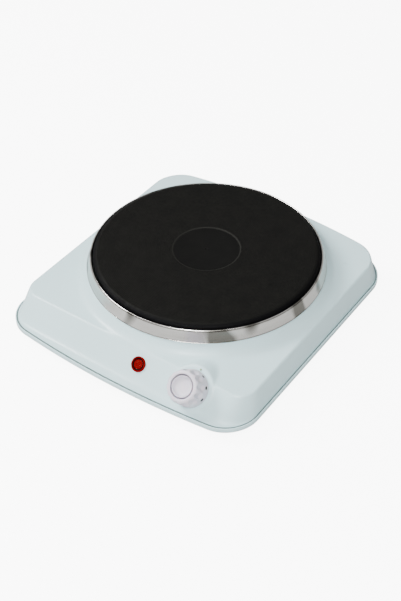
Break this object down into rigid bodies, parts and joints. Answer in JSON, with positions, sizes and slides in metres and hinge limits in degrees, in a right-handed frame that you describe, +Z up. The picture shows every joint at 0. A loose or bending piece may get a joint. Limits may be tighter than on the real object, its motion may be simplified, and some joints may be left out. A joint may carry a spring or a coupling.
{
  "type": "hot plate burner",
  "caption": "Free-standing electric hot plate: enamelled steel housing, round cast iron plate in a steel spill ring, front control knob and pilot lamp.",
  "frame": {"origin": "centre of the footprint, on the surface that the feet stand on", "axes": "+Z up, -Y towards the front panel with the knob, +X to the right"},
  "size_m": [0.23, 0.249, 0.0535],
  "materials": {
    "enamel": "gloss enamel",
    "cast_iron": "black, fine turned rings",
    "stainless": "polished",
    "zinc_steel": "zinc plated",
    "brass": "bare brass",
    "rubber": "matte",
    "knob_white": "satin moulded",
    "ceramic": "unglazed ceramic",
    "magnesia": "packed powder",
    "fibre": "glass fibre rope",
    "lamp_red": "dark red, translucent",
    "lens_red": "bright red, translucent",
    "neon_glass": "clear",
    "lead_brown": "silicone sleeve",
    "lead_blue": "silicone sleeve",
    "lead_earth": "silicone sleeve",
    "dark_plastic": "moulded"
  },
  "bodies": {
    "base": {"housing": "enamel", "base_plate": "zinc_steel", "hotplate": "cast_iron", "spill_ring": "stainless", "ring_seal": "fibre", "heating_coil_inner": "zinc_steel", "heating_coil_outer": "zinc_steel", "magnesia_inner": "magnesia", "magnesia_outer": "magnesia", "under_cover": "zinc_steel", "plate_terminal_block": "ceramic", "overheat_cutout": "zinc_steel", "clamp_bridge": "zinc_steel", "heat_shield": "zinc_steel", "centre_stud": "zinc_steel", "stud_washer": "zinc_steel", "stud_nut": "zinc_steel", "thermostat_bracket": "zinc_steel", "spindle_bush": "brass", "ceramic_stack": "ceramic", "bimetal_blade": "zinc_steel", "switched_terminal": "brass", "live_terminal": "brass", "lamp_bezel": "lamp_red", "lamp_lens": "lens_red", "neon_tube": "neon_glass", "lamp_nut": "zinc_steel", "cord_gland": "dark_plastic", "gland_nut": "dark_plastic", "mains_terminal_block": "ceramic", "earth_tag": "brass", "earth_screw": "zinc_steel", "live_lead": "lead_brown", "switched_lead": "lead_brown", "neutral_lead": "lead_blue", "earth_lead": "lead_earth", "lamp_lead_live": "lead_brown", "lamp_lead_neutral": "lead_blue", "foot_1": "rubber", "foot_screw_1": "zinc_steel", "terminal_pin_1": "brass", "foot_2": "rubber", "foot_screw_2": "zinc_steel", "terminal_pin_2": "brass", "foot_3": "rubber", "foot_screw_3": "zinc_steel", "terminal_pin_3": "brass", "foot_4": "rubber", "foot_screw_4": "zinc_steel", "terminal_pin_4": "brass", "bracket_screw_1": "zinc_steel", "clamp_screw_1": "brass", "bracket_screw_2": "zinc_steel", "clamp_screw_2": "brass"},
    "knob_and_spindle": {"knob": "knob_white", "knob_cap": "knob_white", "knob_spring_clip": "zinc_steel", "spindle": "zinc_steel"},
    "pusher": {"thermostat_pusher": "ceramic"},
    "arm": {"contact_arm": "brass"}
  },
  "joints": [
    {"name": "knob_turn", "type": "hinge", "parent": "base", "child": "knob_and_spindle", "pos_m": [0.0641, -0.10381, 0.02433], "axis": [0, -0.6947, 0.7193], "range_deg": [-270, 0]},
    {"name": "pusher_travel", "type": "slide", "parent": "base", "child": "pusher", "axis": [0, -0.6947, 0.7193], "range_m": [-0.00065, 0]},
    {"name": "contact_arm_flex", "type": "hinge", "parent": "base", "child": "arm", "pos_m": [0.0641, -0.09027, 0.02239], "axis": [1, 0, 0], "range_deg": [0, 5]}
  ],
  "couplings": [
    {"joint": "pusher_travel", "follows": "knob_turn", "m_per_rad": 0.0001273},
    {"joint": "contact_arm_flex", "follows": "knob_turn", "ratio": -0.015158}
  ]
}
